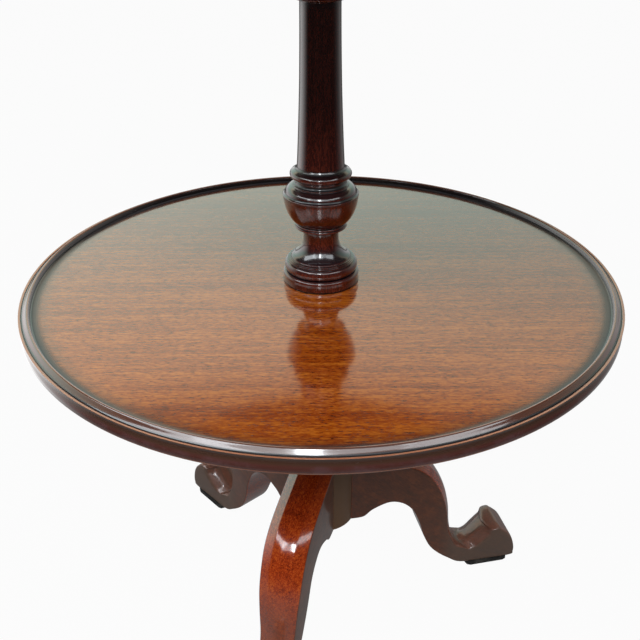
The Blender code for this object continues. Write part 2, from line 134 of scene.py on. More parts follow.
class Recipe:
    """A material, or the world, and the nodes that it is mixed from."""

    def __init__(self, tree):
        self.tree = tree

    def add(self, kind, settings=None, sockets=None, output=0):
        """Add a node, make its settings, then set or join its sockets."""
        node = self.tree.nodes.new(kind)
        for name, value in (settings or {}).items():
            if name == "stops":
                ramp = node.color_ramp
                while len(ramp.elements) < len(value):
                    ramp.elements.new(0.5)
                for element, (place, colour) in zip(ramp.elements, value):
                    element.position = place
                    element.color = (*colour, 1.0)
            else:
                setattr(node, name, value)
        for name, value in (sockets or {}).items():
            self.join(value, node.inputs[name])
        return Socket(self, node.outputs[output]) if node.outputs else None

    def join(self, value, target):
        if isinstance(value, Socket):
            self.tree.links.new(value.socket, target)
        else:
            target.default_value = value

    def several(self, kind, outputs, sockets=None):
        """Several outputs of one node."""
        node = self.add(kind, None, sockets).socket.node
        return [Socket(self, node.outputs[name]) for name in outputs]

    def axes(self, place, names="XYZ"):
        return self.several("ShaderNodeSeparateXYZ", names, {0: place})

    def mix(self, factor, first, second):
        """Mix two colours. A Mix node's colour sockets share their names, so they go by number."""
        colours = [value if isinstance(value, Socket) else (*value, 1.0)
                   for value in (first, second)]
        sockets = {0: factor, 6: colours[0], 7: colours[1]}
        return self.add("ShaderNodeMix", {"data_type": "RGBA"}, sockets, output=2)

    def noise(self, place, scale=1.0, detail=2.0, roughness=0.5, distortion=0.0):
        sockets = {"Vector": place, "Scale": scale, "Detail": detail, "Roughness": roughness,
                   "Distortion": distortion}
        return self.add("ShaderNodeTexNoise", None, sockets)


def from_axis(x, y):
    """Distance from the column's axis."""
    return (x * x + y * y) ** 0.5


def new_finish(name):
    """A new material, its recipe and its shader."""
    material = bpy.data.materials.new(name)
    material.use_nodes = True
    return material, Recipe(material.node_tree), material.node_tree.nodes["Principled BSDF"]


print("sums of sockets are ready")

# %% [markdown]
# ## Studio
# The table stands on a plain pale floor. A narrow bright pane and a wide window light it from
# above the camera, and a window on each side adds to the streaks that run down every turned
# piece. A faint lamp overhead fills in. Polished wood shows its surroundings: a bright backdrop
# behind the table gives the grey sheen on the far half of the tray. The floor is mirrored dark
# under the table and straight behind it, and the room behind the camera is dark, so the column
# stays deep in colour.

# %% Floor, lamps and world
LAMPS = {
    "pane": {"azimuth": -5, "height": 45, "distance": 2.6, "size": (0.30, 1.1), "power": 28},
    "window": {"azimuth": -8, "height": 44, "distance": 2.62, "size": (3.0, 0.9), "power": 26},
    "window_left": {"azimuth": -66, "height": 50, "distance": 2.6, "size": (2.2, 1.3), "power": 50},
    "window_right": {"azimuth": 52, "height": 43, "distance": 2.7, "size": (1.4, 0.8), "power": 15},
    "overhead": {"azimuth": 150, "height": 76, "distance": 2.4, "size": (2.0, 2.0), "power": 5},
}
AIM = Vector((0.0, 0.0, 0.45))
RAYS = ("Is Camera Ray", "Is Glossy Ray")
BACK_EDGE = (-0.35, 0.45)
BACKDROP_TOP = (0.60, 0.525)
BACKDROP_COOL = (0.10, 0.34)
BACKDROP_WARM = (0.40, 0.54)
LEFT_BRIGHTER = 0.6
FLOOR_LEFT_BRIGHTER = 0.80
STRAIGHT_BEHIND = (0.62, 0.92)
BEHIND_DARKER = 0.92
FLOOR_MIRRORED = 0.9
UNDER_TABLE = (0.45, 0.95)
UNDER_MIRRORED = 0.18
FLOOR_SIZE = 30.0
FLOOR_COLOUR = (0.22, 0.22, 0.22)
FLOOR_WHITE = 0.96
PLAIN_WHITE = (1.0, 1.0, 1.0)
COOL_WHITE = (0.82, 1.10, 0.98)
WARM_WHITE = (1.40, 1.24, 0.92)
WINDOW_COLOUR = (0.90, 0.96, 1.0)
ROOM_DARK = 0.03
ROOM_FILL = 0.20
for name, lamp in LAMPS.items():
    turn, rise = radians(lamp["azimuth"]), radians(lamp["height"])
    way = Vector((sin(turn) * cos(rise), -cos(turn) * cos(rise), sin(rise)))
    bpy.ops.object.light_add(type="AREA", location=AIM + way * lamp["distance"])
    light = bpy.context.object
    light.name = name
    light.rotation_euler = way.to_track_quat("Z", "Y").to_euler()
    light.data.shape = "RECTANGLE"
    light.data.size, light.data.size_y = lamp["size"]
    light.data.energy = lamp["power"]
    light.data.color = WINDOW_COLOUR

bpy.ops.mesh.primitive_plane_add(size=FLOOR_SIZE)
floor = bpy.context.object
floor.name = "floor"
floor_finish = bpy.data.materials.new("pale_floor")
floor_finish.use_nodes = True
floor_finish.node_tree.nodes.clear()
recipe = Recipe(floor_finish.node_tree)
seen, mirrored = recipe.several("ShaderNodeLightPath", RAYS)
x, y = recipe.axes(recipe.add("ShaderNodeTexCoord", output="Object"), "XY")
out = from_axis(x, y)
ahead = y / out
far = out.between(*UNDER_TABLE)
straight = 1.0 - BEHIND_DARKER * ahead.between(*STRAIGHT_BEHIND)
left = 1.0 - FLOOR_LEFT_BRIGHTER * x / out
lit = far * ahead.between(*BACK_EDGE) * straight * left * (FLOOR_MIRRORED - ROOM_DARK)
level = ROOM_DARK + lit + (1.0 - far) * UNDER_MIRRORED
matt = recipe.add("ShaderNodeBsdfDiffuse", None, {"Color": (*FLOOR_COLOUR, 1.0)})
glow = recipe.add("ShaderNodeEmission", None, {"Color": (*PLAIN_WHITE, 1.0), "Strength": 1.0})
shown = recipe.add("ShaderNodeMixShader", None, {0: seen * FLOOR_WHITE, 1: matt, 2: glow})
shine = recipe.add("ShaderNodeEmission", None, {"Color": (*PLAIN_WHITE, 1.0), "Strength": level})
shown = recipe.add("ShaderNodeMixShader", None, {0: mirrored, 1: shown, 2: shine})
recipe.add("ShaderNodeOutputMaterial", None, {"Surface": shown})
floor.data.materials.append(floor_finish)

world = bpy.data.worlds.new("studio")
bpy.context.scene.world = world
world.use_nodes = True
world.node_tree.nodes.clear()
recipe = Recipe(world.node_tree)
side, back, up = recipe.axes(recipe.add("ShaderNodeTexCoord", output="Generated"))
backdrop = back.between(*BACK_EDGE) * up.between(*BACKDROP_TOP) * (1.0 - LEFT_BRIGHTER * side)
seen, mirrored = recipe.several("ShaderNodeLightPath", RAYS)
level = mirrored * (ROOM_DARK + backdrop * (1.0 - ROOM_DARK)) + (1.0 - mirrored) * ROOM_FILL
level = seen + (1.0 - seen) * level
tint = recipe.mix(up.between(*BACKDROP_COOL), PLAIN_WHITE, COOL_WHITE)
tint = recipe.mix(up.between(*BACKDROP_WARM), tint, WARM_WHITE)
tint = recipe.mix(mirrored, PLAIN_WHITE, tint)
sky = recipe.add("ShaderNodeBackground", None, {"Color": tint, "Strength": level})
recipe.add("ShaderNodeOutputWorld", None, {"Surface": sky})
print("lamps:", ", ".join(LAMPS))

# %% [markdown]
# ## Turning on the lathe
# Every round piece is one outline swept round the column's axis. A plane is collapsed to a
# single vertex, the vertex is extruded from point to point down the outline, and Spin turns the
# chain into a solid. An outline is a list of sweeps: three or more points in a sweep are joined
# by a smooth curve, as a gouge leaves it, and a straight line with crisp ends goes on from each
# sweep to the next.

# %% Lathe
MERGE = 0.00001
SMOOTH_ANGLE = radians(32)


def smooth_between(points, parts):
    """Points on a smooth curve through the given ones."""
    result = []
    last = len(points) - 1
    for i in range(last):
        a, b, c, d = [Vector(points[min(max(i + step, 0), last)]) for step in (-1, 0, 1, 2)]
        for part in range(parts):
            t = part / parts
            result.append(0.5 * (2 * b + (c - a) * t + (2 * a - 5 * b + 4 * c - d) * t ** 2
                                 + (3 * b - a - 3 * c + d) * t ** 3))
    return result + [Vector(points[last])]


def outline_of(sweeps, parts=5):
    """Join sweeps of (radius, height) points by straight lines. A sweep that starts where the
    one before it ends adds a crisp edge and no line."""
    outline = []
    for sweep in sweeps:
        for point in (smooth_between(sweep, parts) if len(sweep) > 2 else map(Vector, sweep)):
            if not outline or (point - outline[-1]).length > MERGE:
                outline.append(point)
    return outline


def new_piece(name):
    piece = bpy.context.object
    piece.name = name
    piece.data.name = name
    return piece


def chain(name, points):
    """A chain of edges through points in space, left in edit mode and selected."""
    bpy.ops.object.select_all(action="DESELECT")
    bpy.ops.mesh.primitive_plane_add(size=MERGE, location=points[0])
    piece = new_piece(name)
    bpy.ops.object.transform_apply()
    bpy.ops.object.mode_set(mode="EDIT")
    bpy.ops.mesh.merge(type="CENTER")
    for near, far in zip(points, points[1:]):
        bpy.ops.mesh.extrude_region_move(TRANSFORM_OT_translate={"value": far - near})
    return piece


def tidy_solid():
    bpy.ops.mesh.select_all(action="SELECT")
    bpy.ops.mesh.remove_doubles(threshold=MERGE)
    bpy.ops.mesh.normals_make_consistent(inside=False)


def select_only(piece):
    bpy.ops.object.select_all(action="DESELECT")
    piece.select_set(True)
    bpy.context.view_layer.objects.active = piece


def smooth_faces(piece):
    select_only(piece)
    bpy.ops.object.shade_smooth_by_angle(angle=SMOOTH_ANGLE)


def turned(name, outline, steps=96):
    """Sweep an outline round the column's axis."""
    piece = chain(name, [Vector((point[0], 0.0, point[1])) for point in outline])
    bpy.ops.mesh.select_all(action="SELECT")
    bpy.ops.mesh.spin(steps=steps, angle=2 * pi, center=(0.0, 0.0, 0.0), axis=(0.0, 0.0, 1.0))
    tidy_solid()
    bpy.ops.object.mode_set(mode="OBJECT")
    smooth_faces(piece)
    return piece


print("the lathe is ready")

# %% [markdown]
# ## Relief
# On old polish the hollows hold dark wax and the edges are rubbed lighter, and the hollows are
# painted darker still as painted shade. How far each vertex stands out from its neighbours says
# where that happens. The value is kept on the mesh as an attribute called relief, below zero in
# hollows and above zero on edges, for the materials.

# %% Relief of a surface
RELIEF_FULL = 260.0


def mark_relief(piece, passes=2):
    """Store how sharply the surface bends outwards, in shares of RELIEF_FULL per metre."""
    shape = bmesh.new()
    shape.from_mesh(piece.data)
    values = []
    for vertex in shape.verts:
        bends = []
        for edge in vertex.link_edges:
            step = vertex.co - edge.other_vert(vertex).co
            if step.length > MERGE:
                bends.append(2 * step.dot(vertex.normal) / step.length_squared)
        bend = sum(bends) / max(len(bends), 1)
        values.append(max(-1.0, min(1.0, bend / RELIEF_FULL)))
    for _ in range(passes):
        smoother = []
        for vertex in shape.verts:
            near = [values[edge.other_vert(vertex).index] for edge in vertex.link_edges]
            smoother.append((values[vertex.index] + sum(near)) / (len(near) + 1))
        values = smoother
    shape.free()
    relief = piece.data.attributes.new("relief", "FLOAT", "POINT")
    relief.data.foreach_set("value", values)


print("relief is ready")

# %% [markdown]
# ## Mahogany
# Mahogany is a straight, fine grain with short dark pores. Four noises make it: one stretched
# very long for the broad ribbons between growth bands, a narrower one for the lines in them, a
# short one for the fibres, and one shorter and thinner still for the pores. All four read Object
# coordinates, turned so that the grain runs the way the board was cut. A coat on top stands for
# the French polish.

# %% Wood
# Shares of the four noises in the tone: ribbon, line, strand and pore
TONE_SHARES = (0.18, 0.18, 0.30, 0.34)
TONE_STOPS = (0.405, 0.50, 0.595)
PORE_EDGE = (0.40, 0.30)
PORE_STRENGTH = 0.75
PORE_SHADE = 0.22
FLECK_EDGE = (0.60, 0.70)
FLECK_STRENGTH = 0.40
HOLLOW_EDGE = (-0.03, -0.32)
HOLLOW_ROUGHER = 0.30
CREST_EDGE = (0.12, 0.62)
CREST_LIGHTER = 1.7
FACING_UP = (0.10, 0.65)
# Painted shade: the colour that the faces which look up are darkened towards
UPWARD_SHADE_COLOUR = (0.008, 0.006, 0.008)
# Dark wax in the hollows, with painted shade there as well
HOLLOW_WAX_AND_SHADE = (0.004, 0.004, 0.005)
PORES_ROUGHER = 0.10
SMEAR_ROUGHER = 0.10
DULL_ROUGHER = 0.30
DULL_COAT_LOST = 0.75


def wood_parts(recipe, turn, fibre):
    """Ribbon, line, strand and pore noises, with the grain along the turned X axis. Each has
    its length and its width in metres."""
    place = recipe.add("ShaderNodeTexCoord", output="Object")
    turned_place = recipe.add("ShaderNodeMapping", None, {"Vector": place, "Rotation": turn})

    def stretched(length, width, offset, **settings):
        sockets = {"Vector": turned_place, "Location": offset,
                   "Scale": (1 / length, 1 / width, 1 / width)}
        return recipe.noise(recipe.add("ShaderNodeMapping", None, sockets), **settings)

    ribbon = stretched(0.6, 0.024, (3.1, 0.7, 0.2), detail=3.0, distortion=0.25)
    line = stretched(0.22, 0.0034 * fibre, (1.9, 3.3, 0.8), detail=2.0)
    strand = stretched(0.019 * fibre, 0.0021 * fibre, (0.4, 5.2, 1.3), detail=3.0, roughness=0.65)
    pore = stretched(0.0054 * fibre, 0.0013 * fibre, (7.7, 2.9, 4.1), detail=2.0, roughness=0.60)
    return ribbon, line, strand, pore, place


def mahogany(name, colours, turn=(0.0, 0.0, 0.0), fibre=1.0, wax=0.75, rub=0.35, gloss=0.13,
             polish=(1.0, 0.085), upward_shade=0.0, shade=None, dull=None):
    """Polished mahogany. colours holds the dark, middle and light tones of the wood, polish the
    coat's weight and roughness, wax how far the hollows are darkened, by dark wax and
    by painted shade, and upward_shade how far the faces that look up are painted darker, as
    painted shade. shade changes the colour from place to place, and dull says where the polish
    has gone."""
    material, recipe, shader = new_finish(name)
    ribbon, line, strand, pore, place = wood_parts(recipe, turn, fibre)
    dark, _, light = colours
    shares = TONE_SHARES
    tone = ribbon * shares[0] + line * shares[1] + strand * shares[2] + pore * shares[3]
    stops = list(zip(TONE_STOPS, colours))
    colour = recipe.add("ShaderNodeValToRGB", {"stops": stops}, {0: tone})
    pores = pore.between(*PORE_EDGE) * PORE_STRENGTH
    colour = recipe.mix(pores, colour, [value * PORE_SHADE for value in dark])
    colour = recipe.mix(pore.between(*FLECK_EDGE) * FLECK_STRENGTH, colour, light)
    relief = recipe.add("ShaderNodeAttribute", {"attribute_name": "relief"}, output="Fac")
    hollow = relief.between(*HOLLOW_EDGE)
    crest = relief.between(*CREST_EDGE)
    if upward_shade:
        _, _, up = recipe.axes(recipe.add("ShaderNodeTexCoord", output="Normal"))
        # Painted shade: faces that look up are darkened
        colour = recipe.mix(up.between(*FACING_UP) * upward_shade, colour, UPWARD_SHADE_COLOUR)
    # Hollows darkened: dark wax and painted shade
    colour = recipe.mix(hollow * wax, colour, HOLLOW_WAX_AND_SHADE)
    colour = recipe.mix(crest * rub, colour, [min(1.0, value * CREST_LIGHTER) for value in light])
    if shade:
        colour = shade(recipe, place, colour)
    recipe.join(colour, shader.inputs["Base Color"])
    smear = recipe.noise(place, scale=9.0, detail=3.0)
    roughness = (gloss + HOLLOW_ROUGHER * hollow + PORES_ROUGHER * pores
                 + SMEAR_ROUGHER * (smear - 0.5))
    coat = polish[0]
    if dull:
        dulled = dull(recipe, place)
        roughness = roughness + DULL_ROUGHER * dulled
        coat = coat * (1.0 - DULL_COAT_LOST * dulled)
    recipe.join(coat, shader.inputs["Coat Weight"])
    recipe.join(roughness, shader.inputs["Roughness"])
    grooves = {"Strength": 0.12, "Distance": 0.0003, "Height": strand * 0.4 - pores}
    recipe.join(recipe.add("ShaderNodeBump", None, grooves), shader.inputs["Normal"])
    shader.inputs["Coat Roughness"].default_value = polish[1]
    shader.inputs["Coat IOR"].default_value = 1.5
    return material


TURNED_TONES = ((0.026, 0.0030, 0.0018), (0.056, 0.0072, 0.0036), (0.110, 0.018, 0.008))
TRAY_TONES = ((0.098, 0.011, 0.001), (0.205, 0.034, 0.002), (0.34, 0.092, 0.008))
LEG_TONES = ((0.140, 0.013, 0.0015), (0.310, 0.030, 0.003), (0.48, 0.078, 0.009))
TURNED_FINISH = {"turn": (0.0, pi / 2, 0.0), "fibre": 0.8, "wax": 0.95, "rub": 0.20,
                 "gloss": 0.19, "polish": (0.80, 0.08), "upward_shade": 0.92}
column_wood = mahogany("turned_mahogany", TURNED_TONES, **TURNED_FINISH)
print("made", column_wood.name)

# %% [markdown]
# ## Trays
# Each tray is turned from one wide board, so its grain runs straight across. The middle is
# turned away to leave a shallow dish inside a raised bead. The bead's long outer slope ends in a
# narrow quirk beside the rim's sharp edge, and the side below is hollow above and full below.
# The same section serves all three, and only the radius changes. Old wax has left a dark band
# round the dish along the bead, and the bead's crest and the edges are rubbed lighter. The
# bead's inner wall, the crease at its foot and the channel beside the sharp edge are painted
# dark as painted shade, and purple-grey glints are painted on the side.

# %% A tray's section
MM = 0.001
RIM_DEPTH = 0.0158
DISH_DROP = 0.0025
BEAD_RISE = 0.00375
HOUSING_DEPTH = 0.0010
COLLAR_GAP = 0.0003
BORE = 0.0136
UNDER_CHAMFER = 0.0016
UNDER_RING = 0.030
TRAY_STEPS = 192
# Rim sections in millimetres from the sharp edge: inwards, then up. The dish is DISH_DROP down.
FILLET_MM = [(21.0, -2.50), (18.0, -2.47), (15.0, -2.31), (13.1, -2.00), (11.8, -1.55)]
BEAD_MM = [(11.7, -1.55), (11.35, 0.20), (10.6, 2.30), (9.6, 3.45), (8.5, 3.75), (7.7, 3.50),
           (6.9, 2.80), (6.1, 1.97), (5.4, 1.25), (4.7, 0.60), (4.1, 0.10), (3.6, -0.22),
           (3.3, -0.35)]
QUIRK_MM = [(3.3, -0.35), (3.15, -1.05), (2.85, -1.25), (2.55, -1.05)]
LEDGE_MM = [(2.4, -0.45), (1.7, -0.14), (0.9, -0.03), (0.15, 0.0)]
SIDE_MM = [(0.0, -0.20), (0.55, -1.00), (1.05, -2.40), (1.20, -3.80), (0.95, -5.80),
           (0.40, -8.00), (0.05, -10.0), (0.10, -12.2), (0.45, -14.4), (0.9, -15.3)]


def from_edge(points, radius, height):
    """Points that are given in millimetres inwards and up from an edge."""
    return [(radius - inward * MM, height + upward * MM) for inward, upward in points]


def tray_outline(radius, rim, housing_radius):
    """The tray's section, from the bore outwards over the rim and back underneath."""
    dish = rim - DISH_DROP
    housing = dish - HOUSING_DEPTH
    under = rim - RIM_DEPTH
    middle = [[(BORE, under), (BORE, housing)],
              [(housing_radius, housing), (housing_radius, dish)]]
    rim_sweeps = [from_edge(points, radius, rim)
                  for points in (FILLET_MM, BEAD_MM, QUIRK_MM, LEDGE_MM, SIDE_MM)]
    below = [[(radius - UNDER_CHAMFER, under), (radius - UNDER_RING, under)], [(BORE, under)]]
    return outline_of(middle + rim_sweeps + below, parts=4)


print("rim:", round(RIM_DEPTH / MM, 2), "mm deep, bead", round(BEAD_RISE / MM, 2), "mm high")

# %% Tones of the rim
# In millimetres inwards from the sharp edge: where a tone begins, and where it is full
BORDER = (36.0, 16.0)
WAX_BAND = (22.0, 15.5)
BEAD = (11.9, 11.6)
BEAD_WALL = ((9.9, 11.0), (12.0, 11.8))
CHANNEL = ((4.9, 4.1), (2.2, 2.6))
LEDGE = (2.5, 2.2)
SIDE = (2.4, 1.9)
DULL_BAND = ((24.0, 15.0), (11.9, 12.3))
# In millimetres down from the sharp edge
BELOW_EDGE = (0.3, 0.9)
ABOVE_SIDE = (0.7, 0.3)
FULL_SIDE = (6.0, 9.0)
# Lines along the rim: the middle, then how far off a tone begins and where it is full
CREST_LINE = (9.2, (1.0, 0.4))
FOOT_LINE = (12.0, (1.0, 0.3))
LOW_EDGE_LINE = (14.9, (1.4, 0.5))
BORDER_WANDER = 9.0
BAND_WANDER = 4.0
GLINT_EDGE = (0.46, 0.66)
LEDGE_RUBBED = 0.62
LOW_EDGE_RUBBED = 0.6
DULL_SHARE = 0.60


def rim_shade(radius, rim):
    """Colour that changes with the distance from a tray's middle."""
    def shade(recipe, place, colour):
        x, y, z = recipe.axes(place)
        inward = (radius - from_axis(x, y)) / MM
        drop = (rim - z) / MM
        cloud = recipe.noise(place, scale=14.0, detail=2.0) - 0.5
        glint_patch = recipe.noise(place, scale=55.0, detail=5.0, roughness=0.65)
        side = drop.between(*BELOW_EDGE) * inward.between(*SIDE)
        full = drop.between(*FULL_SIDE) * side
        ledge = inward.between(*LEDGE) * drop.between(*ABOVE_SIDE)
        low_edge = drop.near(*LOW_EDGE_LINE) * inward.between(*SIDE)
        # Where each tone lies, how strongly it covers the wood, and its colour
        tones = (
            ((inward + cloud * BORDER_WANDER).between(*BORDER), 0.48, (0.022, 0.010, 0.008)),
            ((inward + cloud * BAND_WANDER).between(*WAX_BAND), 0.90, (0.014, 0.014, 0.016)),
            (inward.between(*BEAD), 0.70, (0.085, 0.026, 0.014)),
            (inward.near(*CREST_LINE), 0.55, (0.34, 0.13, 0.07)),
            # Painted shade on the bead's inner wall
            (inward.inside(*BEAD_WALL), 0.80, (0.012, 0.009, 0.010)),
            # Painted shade in the channel beside the sharp edge
            (inward.inside(*CHANNEL), 0.95, (0.007, 0.008, 0.010)),
            # Painted shade in the crease at the bead's foot
            (inward.near(*FOOT_LINE), 0.95, (0.004, 0.004, 0.005)),
            (side, 0.65, (0.050, 0.024, 0.014)),
            (full, 0.55, (0.085, 0.020, 0.018)),
            # Painted glints: purple-grey patches on the full part of the side
            (full * glint_patch.between(*GLINT_EDGE), 0.35, (0.105, 0.055, 0.060)),
            (ledge * LEDGE_RUBBED + low_edge * LOW_EDGE_RUBBED, 1.0, (0.42, 0.15, 0.07)),
        )
        for where, strength, tone in tones:
            colour = recipe.mix(where * strength, colour, tone)
        return colour
    return shade


def rim_dull(radius):
    """Where a tray's polish has gone: in the band of old wax along the bead."""
    def dull(recipe, place):
        x, y = recipe.axes(place, "XY")
        return DULL_SHARE * ((radius - from_axis(x, y)) / MM).inside(*DULL_BAND)
    return dull


print("old wax reaches", WAX_BAND[0], "mm in from the edge")

# %% The trays
housing_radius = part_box("lower_collar")[1].x + COLLAR_GAP
for tier in TIERS:
    low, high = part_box(tier + "_tray")
    radius, rim = high.x, high.z - BEAD_RISE
    tray = turned(tier + "_tray_wood", tray_outline(radius, rim, housing_radius), TRAY_STEPS)
    mark_relief(tray)
    tray.data.materials.append(mahogany(tier + "_tray_mahogany", TRAY_TONES, wax=0.85, rub=0.30,
                                        shade=rim_shade(radius, rim), dull=rim_dull(radius)))
    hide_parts(tier + "_tray")
    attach(tray, tier + "_tier")
    print(tray.name, "radius", round(radius, 4), "faces", len(tray.data.polygons))

# %% [markdown]
# ## Collars and bosses
# A turned collar is let into the top of each tray round the column, and a boss is screwed
# under it, so that the tray runs true on a long bearing. Both are plain turnings with softened
# edges. The boss has three countersunk holes, cut with a Boolean from turned cutters.

# %% Collars
# Millimetres inwards from the widest circle, then up from the top or from the foot
COLLAR_TOP_MM = [(4.0, 0.0), (1.8, -0.3), (0.4, -1.4), (0.0, -3.0)]
COLLAR_HOLLOW_MM = 0.4
COLLAR_FOOT_MM = [(0.2, 2.4), (1.0, 1.2), (1.2, 0.0)]
for tier in TIERS:
    low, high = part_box(tier + "_collar")
    top = from_edge(COLLAR_TOP_MM, high.x, high.z)
    foot = from_edge(COLLAR_FOOT_MM, high.x, low.z)
    hollow = (high.x - COLLAR_HOLLOW_MM * MM, (low.z + high.z) / 2)
    sweeps = [[(BORE, low.z), (BORE, high.z)], top, [top[-1], hollow, foot[0]], foot,
              [(BORE, low.z)]]
    collar = turned(tier + "_collar_wood", outline_of(sweeps))
    mark_relief(collar)
    collar.data.materials.append(column_wood)
    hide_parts(tier + "_collar")
    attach(collar, tier + "_tier")
print("collars:", len(TIERS))

# %% Bosses with countersunk holes
BOSS_TOP_MM = [(0.0, 0.0), (0.0, -3.0)]
BOSS_STEP_MM = [(1.2, -3.4)]
BOSS_FOOT_MM = [(0.2, 7.0), (0.8, 3.5), (3.4, 0.6), (5.6, 0.0)]
SCREW_NUMBERS = (1, 2, 3)
SCREW_HEAD_DEPTH = 0.0026
SCREW_STEPS = 24
CUTTER_ROOM = 0.0011


def apply_boolean(piece, tool, operation="DIFFERENCE"):
    """Cut or join with another solid, which is then removed."""
    boolean = piece.modifiers.new("cut", "BOOLEAN")
    boolean.operation = operation
    boolean.solver = "EXACT"
    boolean.object = tool
    select_only(piece)
    bpy.ops.object.modifier_apply(modifier=boolean.name)
    bpy.data.objects.remove(tool, do_unlink=True)


def move_mesh(piece, offset):
    """Move a piece by its vertices, so that its object stays at the origin."""
    select_only(piece)
    bpy.ops.transform.translate(value=offset)
    bpy.ops.object.transform_apply(location=True, rotation=True, scale=True)


def copy_piece(piece, name):
    twin = piece.copy()
    twin.data = piece.data.copy()
    twin.name = name
    twin.data.name = name
    bpy.context.scene.collection.objects.link(twin)
    return twin


screw_boxes = {}
for tier in TIERS:
    for number in SCREW_NUMBERS:
        screw_boxes[tier, number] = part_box("%s_boss_screw_%d" % (tier, number))
for tier in TIERS:
    low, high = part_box(tier + "_boss")
    step = from_edge(BOSS_STEP_MM, high.x, high.z)
    foot = from_edge(BOSS_FOOT_MM, high.x, low.z)
    sweeps = [[(BORE, low.z), (BORE, high.z)], from_edge(BOSS_TOP_MM, high.x, high.z),
              step + foot, [(BORE, low.z)]]
    boss = turned(tier + "_boss_wood", outline_of(sweeps))
    above, below = high.z + CUTTER_ROOM, low.z - CUTTER_ROOM
    for number in SCREW_NUMBERS:
        screw_low, screw_high = screw_boxes[tier, number]
        head = (screw_high.x - screw_low.x) / 2 + COLLAR_GAP
        centre = (screw_low + screw_high) / 2
        hole = turned("hole", [(0.0, above), (head / 2, above), (head / 2, low.z + SCREW_HEAD_DEPTH),
                               (head, low.z), (head, below), (0.0, below)], steps=SCREW_STEPS)
        move_mesh(hole, (centre.x, centre.y, 0.0))
        apply_boolean(boss, hole)
    smooth_faces(boss)
    mark_relief(boss)
    boss.data.materials.append(column_wood)
    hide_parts(tier + "_boss")
    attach(boss, tier + "_tier")
print("bosses:", len(TIERS))

# %% [markdown]
# ## Screws and washers
# The boss screws are old countersunk steel screws with a driver slot. One is turned, its slot
# is cut, and it is copied to the nine places. The trays turn on thin brass washers.

# %% Metals
TARNISH_EDGE = (0.35, 0.65)
TARNISH_DULL_EDGE = (0.35, 0.70)
TARNISH_ROUGHER = 0.35


def metal(name, dark, light, roughness):
    """Worn metal: a cloudy tarnish over a fine grain."""
    material, recipe, shader = new_finish(name)
    place = recipe.add("ShaderNodeTexCoord", output="Object")
    cloud = recipe.noise(place, scale=240.0, detail=4.0)
    grain = recipe.noise(place, scale=2200.0, detail=2.0)
    recipe.join(recipe.mix(cloud.between(*TARNISH_EDGE), dark, light), shader.inputs["Base Color"])
    dull = 1.0 - cloud.between(*TARNISH_DULL_EDGE)
    recipe.join(roughness + TARNISH_ROUGHER * dull, shader.inputs["Roughness"])
    bump = {"Strength": 0.15, "Distance": 0.0001, "Height": grain}
    recipe.join(recipe.add("ShaderNodeBump", None, bump), shader.inputs["Normal"])
    shader.inputs["Metallic"].default_value = 1.0
    return material


brass = metal("washer_brass", (0.30, 0.19, 0.07), (0.66, 0.47, 0.20), 0.28)
steel = metal("screw_steel", (0.10, 0.09, 0.08), (0.34, 0.33, 0.31), 0.34)
print("made", brass.name, "and", steel.name)

# %% Screws and washers
SLOT_WIDTH = 0.0011
SLOT_DEPTH = 0.0010
SLOT_TURN = radians(34)
SHANK_SHARE = 0.52
WASHER_BORE = 0.0133
METAL_EDGE = 0.0003
first_low, first_high = screw_boxes["lower", 1]
head = (first_high.x - first_low.x) / 2
shank = head * SHANK_SHARE
screw_centre = (first_low + first_high) / 2
screw = turned("screw", [(0.0, first_high.z), (shank, first_high.z),
                         (shank, first_low.z + SCREW_HEAD_DEPTH), (head, first_low.z + METAL_EDGE),
                         (head - METAL_EDGE, first_low.z), (0.0, first_low.z)], steps=SCREW_STEPS)
move_mesh(screw, (screw_centre.x, screw_centre.y, 0.0))
bpy.ops.mesh.primitive_cube_add(size=1.0, location=(screw_centre.x, screw_centre.y, first_low.z))
slot = new_piece("slot")
# Half of the cutter's height lies below the head, and its length reaches past the head's edge
slot.scale = (3 * head, SLOT_WIDTH, 2 * SLOT_DEPTH)
slot.rotation_euler = (0.0, 0.0, SLOT_TURN)
bpy.ops.object.transform_apply()
apply_boolean(screw, slot)
smooth_faces(screw)
screw.data.materials.append(steel)
for (tier, number), (low, high) in screw_boxes.items():
    node = "%s_boss_screw_%d" % (tier, number)
    twin = copy_piece(screw, node + "_metal")
    move_mesh(twin, (low + high) / 2 - screw_centre)
    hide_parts(node)
    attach(twin, tier + "_tier")
bpy.data.objects.remove(screw, do_unlink=True)
for tier in TIERS:
    low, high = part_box(tier + "_washer")
    rim = high.x
    washer = turned(tier + "_washer_brass", [
        (WASHER_BORE, low.z), (WASHER_BORE, high.z), (rim - METAL_EDGE, high.z),
        (rim, high.z - METAL_EDGE), (rim, low.z + METAL_EDGE), (rim - METAL_EDGE, low.z),
        (WASHER_BORE, low.z)])
    washer.data.materials.append(brass)
    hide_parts(tier + "_washer")
    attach(washer, "base")
print("screws:", len(screw_boxes), "washers:", len(TIERS))

# %% [markdown]
# ## Column
# Two lengths of column stand on the pillar. A spigot passes through the tray below each, and
# the socket in the length's foot takes the tenon above the spigot. The turning at the foot is a
# torus, a run of fine steps, a slim waist, a ringed vase with a sharp lip, and a group of rings
# that carries the tapering shaft. The outline is written in shares of the vase's radius and
# height, sweep by sweep from the foot up. A single point or a pair makes the straight lines of
# the fine steps.

